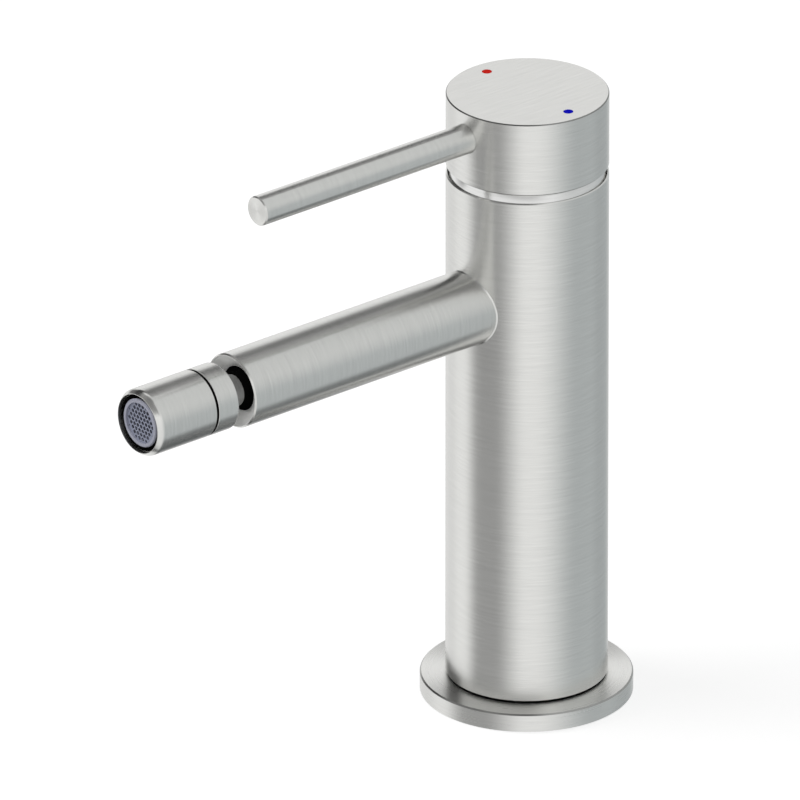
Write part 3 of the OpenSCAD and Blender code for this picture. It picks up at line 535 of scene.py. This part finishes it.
def rounded(corners):
    """The points of a closed outline, in metres, from corners of (radius, length, rounding) in mm."""
    points = []
    for index, (radius, length, rounding) in enumerate(corners):
        corner = Vector((radius, length))
        before = (Vector(corners[index - 1][:2]) - corner).normalized()
        after = (Vector(corners[(index + 1) % len(corners)][:2]) - corner).normalized()
        if not rounding:
            points.append(corner * mm)
            continue
        half = before.angle(after) / 2
        middle = corner + (before + after).normalized() * rounding / math.sin(half)
        start = corner + before * rounding / math.tan(half) - middle
        end = corner + after * rounding / math.tan(half) - middle
        sweep = start.angle(end)
        for step in range(ARC_STEPS + 1):
            share = step / ARC_STEPS
            arm = start * math.sin((1 - share) * sweep) + end * math.sin(share * sweep)
            points.append((middle + arm / math.sin(sweep)) * mm)
    return points


print("points that draw a rounded corner:", ARC_STEPS + 1)

# %% [markdown]
# The lathe takes such an outline round Z in fine steps. A screw modifier would do this too, but its seam
# and its points on the axis would have to be merged, and a list of rings is short to write. Faces that
# meet at more than 35 degrees keep a sharp edge between them.

# %% A lathe
SIDES = 192
SHARP_FROM = math.radians(35)


def turned(name, outline):
    """A solid of revolution round Z from a closed outline of points of radius and length."""
    vertices, rings = [], []
    for radius, length in outline:
        around = SIDES if radius > 0 else 1
        rings.append(range(len(vertices), len(vertices) + around))
        vertices += [(*on_circle(radius, turn, SIDES), length) for turn in range(around)]
    faces = []
    for index, ring in enumerate(rings):
        following = rings[(index + 1) % len(rings)]
        for turn in range(SIDES if max(len(ring), len(following)) > 1 else 0):
            corners = [ring[turn % len(ring)], ring[(turn + 1) % len(ring)],
                       following[(turn + 1) % len(following)], following[turn % len(following)]]
            faces.append(list(dict.fromkeys(corners)))
    mesh = bpy.data.meshes.new(name)
    mesh.from_pydata(vertices, [], faces)
    mesh.shade_smooth()
    mesh.set_sharp_from_angle(angle=SHARP_FROM)
    return bpy.data.objects.new(name, mesh)


print("sides of a turned piece:", SIDES)

# %% [markdown]
# A turned piece is then put in the place of its CAD node. It moves with the same body and takes the same
# finish, and its distances are read from the node's own box, so that it can't drift from the model. A
# weighted normal modifier keeps the flat faces flat beside their small edges, which plain smooth shading
# would blur.

# %% Putting a piece in its node's place
FACE_WEIGHT = 100

body_of = {
    node: body for body, nodes in frame["record"]["behaviour"]["bodies"].items() for node in nodes}


def span(node):
    """A node's outer radius, and where it starts and ends along -Y, in millimetres."""
    low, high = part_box(node)
    return high.x / mm, -high.y / mm, -low.y / mm


def height(node):
    """The height of a node's axis above the deck, in metres."""
    low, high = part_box(node)
    return (low.z + high.z) / 2


def fit_in(piece, node, upright=False):
    """Lets a turned piece stand for its node: upright, or laid along -Y at the node's height."""
    if not upright:
        laid = Matrix.Rotation(math.radians(90), 4, "X")
        piece.matrix_world = Matrix.Translation((0, 0, height(node))) @ laid
    scene.collection.objects.link(piece)
    piece.data.materials.append(finish_of(node))
    weighted = piece.modifiers.new("flat_faces", "WEIGHTED_NORMAL")
    weighted.mode = "FACE_AREA"
    weighted.weight = FACE_WEIGHT
    weighted.keep_sharp = True
    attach(piece, body_of[node])
    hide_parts(node)
    print(f"{piece.name} for {node}: radius {span(node)[0]:.2f} mm, {len(piece.data.polygons)} faces")


# %% [markdown]
# The spout is a tube that is cut to the column's round at its back and welded there. A thin bead of weld
# is left, and dressed by hand. A boolean could cut the tube, but it would leave ragged triangles at the
# joint. Instead the tube's first rings are turned flat and then pushed onto the column's surface, because
# that surface is a plain formula: at a distance x from the middle it lies at the square root of R squared
# less x squared.

# %% Spout
WALL = 1.9
MOUTH_WALL = 0.5
MOUTH_EDGE, INNER_EDGE = 0.4, 0.05
RETAINER_FLANGE = 3.35
BEAD = 0.25
WELD_ZONE = 1

column_r = span("column")[0]
spout_r, _, mouth = span("spout_tube")
shelf = span("ball_retainer")[2] - RETAINER_FLANGE
spout = turned("spout_turned", rounded([
    (spout_r - WALL, 0, 0), (spout_r + BEAD, 0, 0), (spout_r, BEAD, BEAD),
    (spout_r, mouth - MOUTH_EDGE, 0), (spout_r - MOUTH_EDGE, mouth, 0),
    (spout_r - MOUTH_WALL, mouth, INNER_EDGE), (spout_r - MOUTH_WALL, shelf, 0), (spout_r - WALL, shelf, 0),
]))
for vertex in spout.data.vertices:
    if vertex.co.z < WELD_ZONE * mm:
        vertex.co.z += math.sqrt((column_r * mm) ** 2 - vertex.co.x ** 2)
fit_in(spout, "spout_tube")

# %% [markdown]
# A conical ring screwed into the spout's mouth holds the ball. Its cone runs from the spout's rim in to a
# narrow opening. Behind that opening it follows the ball at a small gap. A plain cone there would do for
# the picture, but the ball's own arc is one formula: on a sphere, the radius is worked out from the
# distance along the axis.

# %% Ball retainer
OPENING = 6.35
LIP = 0.2
GAP = 0.05
CONE_EDGE = 0.08

joints = {joint["name"]: joint for joint in frame["record"]["behaviour"]["joints"]}
ball_middle = -joints["nozzle_tilt"]["pos_m"][1] / mm
seat_r = span("nozzle_ball")[0] + GAP
seat_front = ball_middle + math.sqrt(seat_r ** 2 - OPENING ** 2)
retainer_r, retainer_back, retainer_front = span("ball_retainer")
thread_r = spout_r - WALL - GAP
seat_arc = []
for step in range(ARC_STEPS + 1):
    along = seat_front + (retainer_back - seat_front) * step / ARC_STEPS
    seat_arc.append((math.sqrt(seat_r ** 2 - (along - ball_middle) ** 2), along, 0))
retainer = turned("retainer_turned", rounded(seat_arc + [
    (thread_r, retainer_back, 0), (thread_r, shelf + GAP, 0), (retainer_r, shelf + GAP, 0),
    (retainer_r, retainer_front, CONE_EDGE), (OPENING, seat_front + LIP, CONE_EDGE),
]))
fit_in(retainer, "ball_retainer")

# %% [markdown]
# The nozzle's neck, its rear ring and its threaded spigot are one turned piece, so one outline draws them
# all. A black washer lies between the ring and the sleeve, and both show a small bright edge beside it.
# Only the slim neck has another finish, a polish with the shade it lies in painted into a darker colour,
# so its faces are picked by their place on the mesh and get a second material.

# %% Nozzle neck
NECK = 4.64
BORE = 3.0
NECK_THREAD = NECK - 0.6
SLEEVE_BORE = 8.25
SPIGOT = SLEEVE_BORE - 0.05
CUP, CUP_FLOOR = SPIGOT - 1.6, 1
SMALL_EDGE, THREAD_EDGE, RING_EDGE = 0.15, 0.2, 0.3
RING = 7.0

nozzle_r, neck_back, spigot_end = span("nozzle_neck")
ball_front = span("nozzle_ball")[2]
washer_back = span("nozzle_washer")[1]
ring_back = washer_back - RING
cup_floor = washer_back + CUP_FLOOR
neck = turned("neck_turned", rounded([
    (BORE, neck_back, 0), (NECK_THREAD, neck_back, THREAD_EDGE), (NECK_THREAD, ball_front, 0),
    (NECK, ball_front, 0), (NECK, ring_back, RING_EDGE), (nozzle_r, ring_back, RING_EDGE),
    (nozzle_r, washer_back, SMALL_EDGE), (SPIGOT, washer_back, 0), (SPIGOT, spigot_end, RING_EDGE),
    (CUP, spigot_end, 0), (CUP, cup_floor, 0), (BORE, cup_floor - CUP + BORE, 0),
]))
fit_in(neck, "nozzle_neck")
# The second material paints the neck's shade into its colour
neck.data.materials.append(neck_steel_painted_shade)
for face in neck.data.polygons:
    middle = face.center
    slim = middle.xy.length < nozzle_r * mm / 2
    face.material_index = int(slim and ball_front * mm < middle.z < ring_back * mm)
print("polished faces:", sum(face.material_index for face in neck.data.polygons))

# %% [markdown]
# The sleeve ends in a soft bevel that leads to a thin lip. Inside the lip the bore steps down to the
# thread that holds the aerator. A sharp bevel would mirror one part of the room and flash as a whole, so
# its start is rounded by a long arc. It is dark at the top, where it faces the ceiling's card, and turns
# bright on the right.

# %% Nozzle sleeve
RIM_BORE, RIM_DEPTH = 8.45, 2.1
RIM_LIP = 0.12
BEVEL_LENGTH = 1.35
BEVEL_START, LIP_EDGE, BORE_EDGE = 1.8, 0.1, 0.03

sleeve_r, sleeve_back, tip = span("nozzle_sleeve")
sleeve = turned("sleeve_turned", rounded([
    (SLEEVE_BORE, sleeve_back, 0), (sleeve_r, sleeve_back, SMALL_EDGE),
    (sleeve_r, tip - BEVEL_LENGTH, BEVEL_START), (RIM_BORE + RIM_LIP, tip, LIP_EDGE),
    (RIM_BORE, tip, BORE_EDGE), (RIM_BORE, tip - RIM_DEPTH, 0), (SLEEVE_BORE, tip - RIM_DEPTH, 0),
]))
fit_in(sleeve, "nozzle_sleeve")

# %% [markdown]
# The mesh in the nozzle's mouth breaks the water up. It is a thin moulded disc with staggered rows of
# round holes. Cutting holes with booleans is slow and leaves messy faces, but a flat curve fills the
# space between its closed loops by itself, and a thickness is one number. So a plate is drawn as one
# large loop with small ones inside, and then turned into a mesh.

# %% A flat plate with holes
MERGE_WITHIN = 0.001


def plate(loops, back, front):
    """A flat plate between two heights: its outer loop and its holes, each (radius, x, y, sides)."""
    drawing = bpy.data.curves.new("plate_drawing", "CURVE")
    drawing.dimensions = "2D"
    drawing.fill_mode = "BOTH"
    drawing.extrude = (front - back) / 2 * mm
    for radius, middle_x, middle_y, sides in loops:
        spline = drawing.splines.new("POLY")
        spline.points.add(sides - 1)
        spline.use_cyclic_u = True
        for turn, point in enumerate(spline.points):
            x, y = on_circle(radius, turn, sides)
            point.co = ((middle_x + x) * mm, (middle_y + y) * mm, 0, 1)
    drawn = bpy.data.objects.new("plate_drawing", drawing)
    mesh = bpy.data.meshes.new_from_object(drawn)
    bpy.data.objects.remove(drawn)
    shaping = bmesh.new()
    shaping.from_mesh(mesh)
    bmesh.ops.remove_doubles(shaping, verts=shaping.verts, dist=MERGE_WITHIN * mm)
    bmesh.ops.recalc_face_normals(shaping, faces=shaping.faces)
    bmesh.ops.translate(shaping, verts=shaping.verts, vec=(0, 0, (back + front) / 2 * mm))
    shaping.to_mesh(mesh)
    shaping.free()
    return mesh


# %% [markdown]
# The rows lie as far apart as a triangle of three neighbours is high, so that all holes keep the same
# distance. A hole that would run over the edge gets smaller instead, down to half a millimetre. The web
# is thin, which lets the eye look through the holes from the side, and a rim behind it seats in the
# insert. Web and rim are two plates that meet face to face and are joined into one mesh.

# %% Aerator mesh
PITCH = 1.4
HOLE, SMALLEST_HOLE = 1.12, 0.5
EDGE_BAR = 0.12
WEB = 0.2
HOLE_SIDES, DISC_SIDES = 20, 96

mesh_r, mesh_back, mesh_front = span("aerator_mesh")
row_distance = PITCH * math.sin(math.radians(60))
reach = math.ceil(mesh_r / row_distance)
holes = []
for row in range(-reach, reach + 1):
    shift = 0.5 if row % 2 == 0 else 0
    for place in range(-reach, reach + 1):
        middle_x, middle_y = (place + shift) * PITCH, row * row_distance
        room_left = mesh_r - EDGE_BAR - math.hypot(middle_x, middle_y)
        if room_left >= SMALLEST_HOLE / 2:
            holes.append((min(HOLE / 2, room_left), middle_x, middle_y, HOLE_SIDES))
edge_loop = (mesh_r, 0, 0, DISC_SIDES)
seat_loop = (mesh_r - EDGE_BAR, 0, 0, DISC_SIDES)
web = plate([edge_loop, *holes], mesh_front - WEB, mesh_front)
seat = plate([edge_loop, seat_loop], mesh_back, mesh_front - WEB)
joining = bmesh.new()
joining.from_mesh(web)
joining.from_mesh(seat)
joining.to_mesh(web)
joining.free()
fit_in(bpy.data.objects.new("mesh_disc", web), "aerator_mesh")
print("holes in the mesh:", len(holes))

# %% [markdown]
# The lever is a plain pin, screwed into the cap against a shoulder. Its free end is faced off and its
# edge is broken with a small bevel. A bevel modifier could make it, but on a lathe it is only one more
# point in the outline. It draws a thin dark line because it mirrors the ceiling's card.

# %% Lever pin
SCREW, SCREW_EDGE = 2.5, 0.3
LEVER_SEAT = 16.05
LEVER_EDGE = 0.35

lever_r, stub_back, lever_end = span("lever_pin")
lever = turned("lever_turned", rounded([
    (0, stub_back, 0), (SCREW, stub_back, SCREW_EDGE), (SCREW, LEVER_SEAT, 0), (lever_r, LEVER_SEAT, 0),
    (lever_r, lever_end - LEVER_EDGE, 0), (lever_r - LEVER_EDGE, lever_end, 0), (0, lever_end, 0),
]))
fit_in(lever, "lever_pin")

# %% [markdown]
# Under the cap a polished dome covers the cartridge. The cap's mouth swings over it, so its top is part
# of a sphere round the lever's pivot. In the model its brim leaves a wide slot to the column's lip, which
# shows black from the front, while on the real tap the sphere goes on down behind the lip. So the dome is
# turned here with the same sphere and a wider brim. Its long arc has more points than a rounded corner,
# so that the bright band which it shows under the cap stays smooth.

# %% Dome cover
DOME_WALL = 1.5
DOME_HOLE = 13.95
LIP_WALL, LIP_DEPTH = 0.45, 2.5
BRIM_GAP = 0.08
SKIRT, SKIRT_WALL = 19.15, 1.7
OUTER_STEPS, INNER_STEPS = 24, 4

pivot = joints["flow"]["pos_m"][2] / mm
column_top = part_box("column")[1].z / mm
dome_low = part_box("dome_cover")[0].z / mm
sphere = math.hypot(span("dome_cover")[0], column_top - pivot)


def sphere_arc(radius, first, last, steps):
    """Outline points on a sphere round the pivot, between two distances from the column's axis."""
    distances = [first + (last - first) * step / steps for step in range(steps + 1)]
    return [(at, pivot + math.sqrt(radius ** 2 - at ** 2), 0) for at in distances]


brim = column_r - LIP_WALL - BRIM_GAP
hole_inside = SKIRT - SKIRT_WALL
shelf_z = column_top - LIP_DEPTH + GAP
dome = turned("dome_turned", rounded([
    (SKIRT, dome_low, 0), (SKIRT, shelf_z, 0), (brim, shelf_z, 0),
    *sphere_arc(sphere, brim, DOME_HOLE, OUTER_STEPS),
    *sphere_arc(sphere - DOME_WALL, DOME_HOLE, hole_inside, INNER_STEPS),
    (hole_inside, dome_low, 0),
]))
fit_in(dome, "dome_cover", upright=True)
